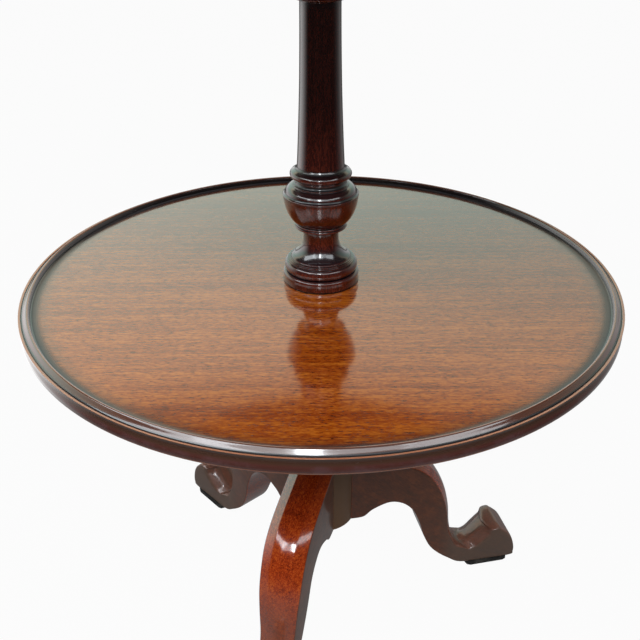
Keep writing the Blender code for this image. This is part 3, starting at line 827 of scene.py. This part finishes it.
# %% Turned outlines
VASE_RADIUS = 0.0381
VASE_HEIGHT = 0.109
SHAFT_TOP_RADIUS = 0.0190
CAPITAL_RADIUS = 0.0325
CAPITAL_HEIGHT = 0.030
SPIGOT_RADIUS = 0.013
TENON_RADIUS = 0.009
UPPER_SECTION_SHARE = 0.9
VASE_SHARES = [
    [(0.930, 0.000), (0.968, 0.014), (0.990, 0.036), (0.990, 0.060), (0.960, 0.084), (0.905, 0.097)],
    [(0.905, 0.105), (0.872, 0.107)], [(0.872, 0.114), (0.838, 0.116)], [(0.838, 0.123)],
    [(0.800, 0.125), (0.790, 0.131), (0.700, 0.150), (0.605, 0.184), (0.530, 0.226), (0.486, 0.278),
     (0.476, 0.336), (0.486, 0.390), (0.520, 0.416)],
    [(0.640, 0.424), (0.682, 0.428), (0.694, 0.438), (0.682, 0.448)],
    [(0.660, 0.450), (0.676, 0.456), (0.668, 0.466), (0.640, 0.470)],
    [(0.640, 0.470), (0.768, 0.506), (0.870, 0.562), (0.946, 0.632), (0.986, 0.702), (0.998, 0.742)],
    [(0.998, 0.742), (1.000, 0.750), (0.985, 0.756)],
    [(0.962, 0.760), (0.942, 0.770), (0.930, 0.786)],
    [(0.930, 0.786), (0.895, 0.806), (0.830, 0.824), (0.756, 0.832)],
    [(0.756, 0.832), (0.742, 0.834), (0.738, 0.844), (0.722, 0.846)],
    [(0.722, 0.846), (0.684, 0.852), (0.664, 0.866), (0.666, 0.880)],
    [(0.666, 0.880), (0.690, 0.882), (0.702, 0.889), (0.690, 0.896)],
    [(0.690, 0.896), (0.706, 0.900), (0.712, 0.906)],
    [(0.712, 0.906), (0.770, 0.914), (0.804, 0.930), (0.804, 0.950), (0.778, 0.966)],
    [(0.778, 0.966), (0.712, 0.978), (0.660, 0.990), (0.628, 1.008)],
]
SHAFT_FOOT_SHARE = 0.625
# Share of the way up the shaft, then share of its taper done
SHAFT_SHARES = [(0.02, 0.06), (0.22, 0.38), (0.50, 0.72), (0.78, 0.92), (1.00, 1.00)]
CAPITAL_SHARES = [
    [(0.600, 0.000)], [(0.640, 0.030), (0.720, 0.060), (0.740, 0.115), (0.700, 0.170)],
    [(0.620, 0.200), (0.600, 0.300), (0.650, 0.450), (0.780, 0.600), (0.900, 0.700)],
    [(0.930, 0.730), (0.990, 0.790), (1.000, 0.880), (0.970, 0.980)], [(0.950, 1.000)],
]


def sweeps_at(shares, radius, height, foot):
    return [[(radius * r, foot + height * h) for r, h in sweep] for sweep in shares]


def spigot(bearing, shoulder, top):
    """Bearing face, spigot through the tray, and the tenon above it."""
    return [[(SPIGOT_RADIUS, bearing), (SPIGOT_RADIUS, shoulder)],
            [(TENON_RADIUS, shoulder), (TENON_RADIUS, top)], [(0.0, top)]]


def tenon_socket(foot, depth):
    """The blind hole in a foot that takes the tenon below it."""
    bore = TENON_RADIUS + COLLAR_GAP
    return [[(0.0, foot + depth), (bore, foot + depth)], [(bore, foot)]]


def column_outline(foot, bearing, shoulder, top, scale, depth):
    """One length of column from the socket in its foot to the tenon on its top."""
    radius = VASE_RADIUS * scale
    vase = sweeps_at(VASE_SHARES, radius, VASE_HEIGHT, foot)
    low = (SHAFT_FOOT_SHARE * radius, foot + VASE_HEIGHT)
    high = (SHAFT_TOP_RADIUS * scale, bearing - CAPITAL_HEIGHT)
    shaft = [vase[-1][-1]]
    shaft += [(low[0] + (high[0] - low[0]) * done, low[1] + (high[1] - low[1]) * way)
              for way, done in SHAFT_SHARES]
    capital = sweeps_at(CAPITAL_SHARES, CAPITAL_RADIUS * scale, CAPITAL_HEIGHT, high[1])
    return outline_of(tenon_socket(foot, depth) + vase + [shaft] + capital
                      + spigot(bearing, shoulder, top))


print("sweeps in the vase:", len(VASE_SHARES), "and in the capital:", len(CAPITAL_SHARES))

# %% Two lengths of column and the button
TENON_LENGTH = 0.034
BUTTON_TENON = 0.018
washer_low = {tier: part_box(tier + "_washer")[0].z - COLLAR_GAP for tier in TIERS}
for node, below, above, scale in (("lower_column", "lower", "middle", 1.0),
                                  ("upper_column", "middle", "top", UPPER_SECTION_SHARE)):
    low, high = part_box(node)
    tenon = TENON_LENGTH if above == "middle" else BUTTON_TENON
    column = turned(node + "_wood", column_outline(low.z, washer_low[above], high.z - tenon,
                                                   high.z, scale, TENON_LENGTH + COLLAR_GAP))
    mark_relief(column)
    column.data.materials.append(column_wood)
    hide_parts(node)
    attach(column, "base")
    print(column.name, "from", round(low.z, 4), "to", round(high.z, 4))

BUTTON_SHARES = [
    [(0.930, 0.000), (0.980, 0.040), (1.000, 0.100), (0.980, 0.170), (0.920, 0.220)],
    [(0.860, 0.230), (0.700, 0.270), (0.560, 0.340), (0.520, 0.430)],
    [(0.520, 0.430), (0.580, 0.440), (0.600, 0.480), (0.570, 0.520)],
    [(0.570, 0.520), (0.680, 0.580), (0.735, 0.680), (0.700, 0.800), (0.560, 0.910),
     (0.300, 0.980), (0.000, 1.000)],
]
low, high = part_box("top_button")
button = turned("top_button_wood", outline_of(
    tenon_socket(low.z, BUTTON_TENON + COLLAR_GAP)
    + sweeps_at(BUTTON_SHARES, high.x, high.z - low.z, low.z)))
mark_relief(button)
button.data.materials.append(column_wood)
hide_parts("top_button")
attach(button, "base")
print("button", round(high.z - low.z, 4), "high")

# %% [markdown]
# ## Pillar
# The pillar carries everything. Its lower part is a plain drum with three flats, and in each
# flat a dovetail slot for a leg. It is turned first, as a turner would, and the seats are cut
# afterwards with a Boolean from a prism of the leg's shoulder and tongue. Between the legs the
# drum has worn to a duller, lighter brown.

# %% The pillar and its three seats
DRUM_WORN = 0.85
DRUM_DULL = 0.9
DRUM_COLOUR = (0.170, 0.085, 0.036)
LEG_WIDTH = 0.050
LEG_ANGLES = {"right": 12, "rear": 132, "front": 252}
TONGUE_DEPTH = 0.013
TONGUE_NECK = 0.015
TONGUE_ROOT = 0.021
PILLAR_RADIUS = 0.040
RING_RADIUS = 0.0425
RING_HEIGHT = 0.012
RING_FULL = (0.25, 0.70)
RING_TOP_SHARE = 0.97
PILLAR_STEPS = 120
SHOULDER_HEIGHT = 0.008
SOFT_EDGE = 0.0011
CUT_ROOM = 0.004
PILLAR_SHARES = [
    [(0.98, 0.00), (0.86, 0.02), (0.70, 0.06), (0.60, 0.13), (0.565, 0.21)],
    [(0.565, 0.21), (0.66, 0.30), (0.86, 0.44), (0.97, 0.56), (1.00, 0.655)],
    [(0.965, 0.665), (0.94, 0.73), (0.84, 0.765), (0.74, 0.775)],
    [(0.74, 0.775), (0.65, 0.82), (0.60, 0.90), (0.59, 0.98)],
]
pillar_low, pillar_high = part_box("pillar")
leg_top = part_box("leg_right")[1].z
flat = sqrt(PILLAR_RADIUS ** 2 - (LEG_WIDTH / 2) ** 2)


def prism(name, plan, low, high):
    """Draw a plan with a chain of edges, fill it and extrude it upwards."""
    corners = [Vector((x, y, low)) for x, y in plan]
    piece = chain(name, corners)
    bpy.ops.mesh.select_all(action="SELECT")
    bpy.ops.mesh.edge_face_add()
    bpy.ops.mesh.extrude_region_move(TRANSFORM_OT_translate={"value": (0.0, 0.0, high - low)})
    tidy_solid()
    bpy.ops.object.mode_set(mode="OBJECT")
    return piece


def turn_mesh(piece, angle):
    """Turn a piece about the column's axis by its vertices."""
    piece.rotation_euler = (0.0, 0.0, angle)
    select_only(piece)
    bpy.ops.object.transform_apply(location=True, rotation=True, scale=True)


ring_low = leg_top + SHOULDER_HEIGHT
ring_high = ring_low + RING_HEIGHT
bearing = washer_low["lower"]
drum = [
    [(0.0, pillar_low.z), (PILLAR_RADIUS - SOFT_EDGE, pillar_low.z)],
    [(PILLAR_RADIUS, pillar_low.z + SOFT_EDGE)],
    [(PILLAR_RADIUS, ring_low), (RING_RADIUS, ring_low + RING_FULL[0] * RING_HEIGHT),
     (RING_RADIUS, ring_low + RING_FULL[1] * RING_HEIGHT),
     (PILLAR_RADIUS * RING_TOP_SHARE, ring_high)],
]
neck_height = bearing - CAPITAL_HEIGHT
upper = sweeps_at(PILLAR_SHARES, VASE_RADIUS, neck_height - ring_high, ring_high)
capital = sweeps_at(CAPITAL_SHARES, CAPITAL_RADIUS, CAPITAL_HEIGHT, neck_height)
spigot_sweeps = spigot(bearing, pillar_high.z - TENON_LENGTH, pillar_high.z)
pillar = turned("pillar_wood", outline_of(drum + upper + capital + spigot_sweeps), PILLAR_STEPS)
outer = RING_RADIUS + CUT_ROOM
half = LEG_WIDTH / 2 + CUT_ROOM
neck = TONGUE_NECK / 2 + COLLAR_GAP
root = TONGUE_ROOT / 2 + COLLAR_GAP
deep = flat - TONGUE_DEPTH - COLLAR_GAP
for angle in LEG_ANGLES.values():
    plan = [(outer, -half), (outer, half), (flat, half), (flat, neck), (deep, root), (deep, -root),
            (flat, -neck), (flat, -half)]
    seat = prism("seat", plan, pillar_low.z - CUT_ROOM, leg_top + COLLAR_GAP)
    turn_mesh(seat, radians(angle))
    apply_boolean(pillar, seat)
smooth_faces(pillar)
mark_relief(pillar)


def drum_part(recipe, place):
    """1 on the plain drum between the legs and 0 above it."""
    _, _, z = recipe.axes(place)
    return z.between(ring_low, leg_top)


def worn_drum(recipe, place, colour):
    """The drum is rubbed to a lighter brown than the turnings above it."""
    return recipe.mix(drum_part(recipe, place) * DRUM_WORN, colour, DRUM_COLOUR)


def drum_dull(recipe, place):
    """The drum's polish has gone too."""
    return drum_part(recipe, place) * DRUM_DULL


pillar.data.materials.append(mahogany("pillar_mahogany", TURNED_TONES, shade=worn_drum,
                                      dull=drum_dull, **TURNED_FINISH))
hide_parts("pillar")
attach(pillar, "base")
print("pillar flats at", round(flat, 4), "from the axis")

# %% [markdown]
# ## Legs
# A leg is sawn from a thick board and its top is worked to a flat band between two chamfers,
# which follow the curve down and die out on the scrolled toe. No single bevel can do that, so
# the leg is a loft: the section at the pillar is filled, and the face is extruded on from
# station to station, each new ring being set on its own section. Softened arrises are part of
# the section. The dovetail tongue is joined on with a Boolean, and one leg is copied for three.

# %% Leg stations
TRIPOD_RADIUS = 0.266
PAD_THICKNESS = 0.005
LEG_CROWN = 0.0016
LEG_ARRIS = 0.0008
LEG_BAND_SHARES = (0.50, 0.40)
LEG_CHAMFER_SHARES = (0.17, 0.26)
LEG_TOE_CHAMFER_SHARE = 0.06
LEG_CHAMFER_LIMIT_SHARES = (0.36, 0.20)
LEG_STATION_STEPS = 6
LEG_CORNER_SHARES = (0.02, 0.11)
CORNER_STEPS = (0.0, 0.25, 0.5, 0.75, 1.0)
CORNER_LIMIT = 0.45
CROWN_STEPS = (0.3, 0.6)
LOOK_BACK = 8
# Radius and height in shares of TRIPOD_RADIUS and leg_top, then share of the full width
LEG_UPPER_SHARES = [
    (0.118, 1.000, 1.00), (0.230, 0.962, 1.00), (0.340, 0.922, 1.00), (0.430, 0.876, 1.00),
    (0.500, 0.812, 1.00), (0.552, 0.720, 0.98), (0.590, 0.610, 0.95), (0.614, 0.486, 0.88),
    (0.624, 0.370, 0.82), (0.634, 0.284, 0.79), (0.652, 0.206, 0.79), (0.684, 0.152, 0.83),
    (0.718, 0.158, 0.89), (0.748, 0.190, 0.94), (0.780, 0.228, 0.96), (0.808, 0.256, 0.95),
]
LEG_UNDER_SHARES = [
    (0.118, 0.545), (0.178, 0.545), (0.222, 0.588), (0.300, 0.622), (0.366, 0.598),
    (0.418, 0.530), (0.456, 0.420), (0.486, 0.300), (0.534, 0.182), (0.622, 0.080),
    (0.712, 0.0), (0.940, 0.0), (0.966, 0.060), (0.957, 0.140), (0.930, 0.215), (0.880, 0.275),
]
sole = PAD_THICKNESS + COLLAR_GAP
seat_face = flat + COLLAR_GAP


def softened(corners, radius):
    """Round each corner of a half section with a small curve."""
    points = [corners[0]]
    for before, corner, after in zip(corners, corners[1:], corners[2:]):
        back, on = before - corner, after - corner
        back = back.normalized() * min(radius, back.length * CORNER_LIMIT)
        on = on.normalized() * min(radius, on.length * CORNER_LIMIT)
        points += [corner + back * (1 - way) ** 2 + on * way ** 2 for way in CORNER_STEPS]
    return points + [corners[-1]]


def towards(shares, way):
    """A share that changes from its value at the pillar to its value at the toe."""
    return shares[0] + (shares[1] - shares[0]) * way


def leg_section(top, low, share, toe):
    """Points round one section, from the middle of the top over one side and back."""
    half = LEG_WIDTH * share / 2
    across = low - top
    depth = across.length
    across = across / depth
    above, under = [depth * limit for limit in LEG_CHAMFER_LIMIT_SHARES]
    drop = min(LEG_WIDTH * towards(LEG_CHAMFER_SHARES, toe ** 2), above)
    band = half * towards(LEG_BAND_SHARES, toe ** 2)
    foot_drop = max(LEG_ARRIS, min(LEG_WIDTH * LEG_TOE_CHAMFER_SHARE * toe ** 3, under))
    corners = [(0.0, 0.0), (LEG_CROWN, band), (drop, half), (depth - foot_drop, half),
               (depth, half - foot_drop), (depth, 0.0)]
    crown = [(LEG_CROWN * part ** 2, band * part) for part in CROWN_STEPS]
    radius = LEG_WIDTH * towards(LEG_CORNER_SHARES, toe ** 2)
    side = softened([Vector(corner) for corner in corners], radius)
    side = [side[0]] + [Vector(point) for point in crown] + side[1:]
    points = [(top + across * down, out) for down, out in side]
    points += [(point, -out) for point, out in reversed(points[1:-1])]
    return [Vector((point.x, out, max(point.y, sole))) for point, out in points]


def leg_sections():
    upper = [(TRIPOD_RADIUS * r, leg_top * h, w) for r, h, w in LEG_UPPER_SHARES]
    under = [(TRIPOD_RADIUS * r, max(leg_top * h, sole)) for r, h in LEG_UNDER_SHARES]
    upper[0] = (seat_face, leg_top, 1.0)
    under[0] = (seat_face, pillar_low.z)
    upper = smooth_between(upper, LEG_STATION_STEPS)
    under = smooth_between(under, LEG_STATION_STEPS)
    sections = []
    for index, (top, low) in enumerate(zip(upper, under)):
        low = Vector((low.x, max(low.y, sole)))
        sections.append(leg_section(top.xy, low, top.z, index / (len(upper) - 1)))
    return sections


def rounded_end(sections, layers):
    """Close a loft with a low dome: rings that draw in and move on past the last section."""
    last = sections[-1]
    middle = sum(last, Vector()) / len(last)
    onward = (middle - sum(sections[-LOOK_BACK], Vector()) / len(last)).normalized()
    return [[middle + (point - middle) * draw + onward * rise for point in last]
            for draw, rise in layers]


def lofted(name, sections):
    """Extrude the first section on and set every new ring on its own section."""
    piece = chain(name, sections[0])
    bpy.ops.mesh.select_all(action="SELECT")
    bpy.ops.mesh.edge_face_add()
    for near, far in zip(sections, sections[1:]):
        bpy.ops.mesh.extrude_region_move()
        shape = bmesh.from_edit_mesh(piece.data)
        for vertex in shape.verts:
            if vertex.select:
                place = min(range(len(near)), key=lambda i: (vertex.co - near[i]).length)
                vertex.co = far[place]
        bmesh.update_edit_mesh(piece.data)
    tidy_solid()
    bpy.ops.object.mode_set(mode="OBJECT")
    return piece


print("leg stations:", len(LEG_UPPER_SHARES))

# %% Three legs
TOE_DOME = ((0.985, 0.0007), (0.93, 0.0017), (0.78, 0.0027), (0.45, 0.0036), (0.12, 0.0040))
GRAIN_SLOPE = radians(42)
CHEEK_EDGE = (0.60, 0.85)
# Painted shade: the cheeks of a leg are darkened, in blotches of the grain
CHEEK_SHADE_SHARE = 0.78
CHEEK_SHADE_COLOUR = (0.052, 0.030, 0.014)
BLOTCH_EDGE = (0.45, 0.66)
BLOTCH_STRENGTH = 0.75
BLOTCH_COLOUR = (0.120, 0.048, 0.019)
TOE_EDGE = (0.145, 0.180)
# The toe is scuffed, and it is painted greyer as a painted sheen
TOE_SCUFF_AND_SHEEN_SHARE = 0.75
TOE_SCUFF_AND_SHEEN = (0.120, 0.080, 0.058)
CHEEK_DULL = 0.55
TOE_DULL = 0.60
sections = leg_sections()
body = lofted("leg", sections + rounded_end(sections, TOE_DOME))
reach = seat_face + CUT_ROOM
slope = (TONGUE_ROOT - TONGUE_NECK) / TONGUE_DEPTH
tongue_neck = TONGUE_NECK - slope * CUT_ROOM
tongue = prism("tongue", [(reach, -tongue_neck / 2), (reach, tongue_neck / 2),
                          (seat_face - TONGUE_DEPTH, TONGUE_ROOT / 2),
                          (seat_face - TONGUE_DEPTH, -TONGUE_ROOT / 2)],
               pillar_low.z + COLLAR_GAP, leg_top - COLLAR_GAP)
apply_boolean(body, tongue, "UNION")
smooth_faces(body)
mark_relief(body, passes=3)
cheeks = body.data.attributes.new("cheek", "FLOAT", "POINT")
cheeks.data.foreach_set("value", [abs(vertex.normal.y) for vertex in body.data.vertices])


def cheek_and_toe(recipe, place):
    """How far a place is cheek and how far it is worn toe."""
    cheek = recipe.add("ShaderNodeAttribute", {"attribute_name": "cheek"}, output="Fac")
    x, y = recipe.axes(place, "XY")
    return cheek.between(*CHEEK_EDGE), from_axis(x, y).between(*TOE_EDGE)


def shaded_and_worn_leg(recipe, place, colour):
    """The cheeks of a leg are painted darker than its worked top, as painted shade, in blotches of
    the grain, and its toe is scuffed and painted greyer, as a painted sheen."""
    cheek, toe = cheek_and_toe(recipe, place)
    blotch = recipe.noise(place, scale=75.0, detail=4.0, roughness=0.6)
    shaded_cheek = recipe.mix(blotch.between(*BLOTCH_EDGE) * BLOTCH_STRENGTH, CHEEK_SHADE_COLOUR,
                      BLOTCH_COLOUR)
    # Painted shade on the cheeks
    colour = recipe.mix(cheek * CHEEK_SHADE_SHARE, colour, shaded_cheek)
    # Scuffed toe with a painted sheen
    return recipe.mix(toe * TOE_SCUFF_AND_SHEEN_SHARE, colour, TOE_SCUFF_AND_SHEEN)


def leg_dull(recipe, place):
    """The polish has gone from the cheeks and from the toe."""
    cheek, toe = cheek_and_toe(recipe, place)
    return 1.0 - (1.0 - CHEEK_DULL * cheek) * (1.0 - TOE_DULL * toe)


for name, angle in LEG_ANGLES.items():
    leg = copy_piece(body, "leg_%s_wood" % name)
    turn_mesh(leg, radians(angle))
    smooth_faces(leg)
    leg.data.materials.append(mahogany("leg_mahogany_" + name, LEG_TONES, fibre=0.9, rub=0.10,
                                       turn=(0.0, -GRAIN_SLOPE, -radians(angle)), gloss=0.16,
                                       shade=shaded_and_worn_leg, dull=leg_dull))
    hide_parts("leg_" + name)
    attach(leg, "base")
print("leg faces:", len(body.data.polygons))
bpy.data.objects.remove(body, do_unlink=True)

# %% [markdown]
# ## Toe pads
# Each toe stands on a thin black pad. The solid's outline is already right, so the pad is a
# copy of it with its doubles merged and its flat faces joined, in dull leather.

# %% Pads
FLAT_WITHIN = radians(2)
DUST_EDGE = (0.5, 0.75)
DUST_ROUGHER = 0.25
BLACK_LEATHER = (0.010, 0.009, 0.008)
DUSTY_LEATHER = (0.045, 0.040, 0.034)
LEATHER_ROUGHNESS = 0.60


def leather(name):
    material, recipe, shader = new_finish(name)
    place = recipe.add("ShaderNodeTexCoord", output="Object")
    cells = recipe.add("ShaderNodeTexVoronoi", None, {"Vector": place, "Scale": 900.0})
    dust = recipe.noise(place, scale=60.0, detail=4.0)
    colour = recipe.mix(dust.between(*DUST_EDGE), BLACK_LEATHER, DUSTY_LEATHER)
    recipe.join(colour, shader.inputs["Base Color"])
    recipe.join(LEATHER_ROUGHNESS + DUST_ROUGHER * dust, shader.inputs["Roughness"])
    bump = {"Strength": 0.3, "Distance": 0.0003, "Height": cells}
    recipe.join(recipe.add("ShaderNodeBump", None, bump), shader.inputs["Normal"])
    return material


pad_leather = leather("pad_leather")
for name in LEG_ANGLES:
    node = "toe_pad_" + name
    pad = copy_piece(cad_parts[node], node + "_leather")
    pad.parent = None
    for key in list(pad.keys()):
        del pad[key]
    pad.data.materials.clear()
    select_only(pad)
    bpy.ops.object.mode_set(mode="EDIT")
    bpy.ops.mesh.select_all(action="SELECT")
    bpy.ops.mesh.remove_doubles(threshold=MERGE)
    bpy.ops.mesh.dissolve_limited(angle_limit=FLAT_WITHIN)
    bpy.ops.object.mode_set(mode="OBJECT")
    smooth_faces(pad)
    pad.data.materials.append(pad_leather)
    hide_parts(node)
    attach(pad, "base")
print("pads:", len(LEG_ANGLES))
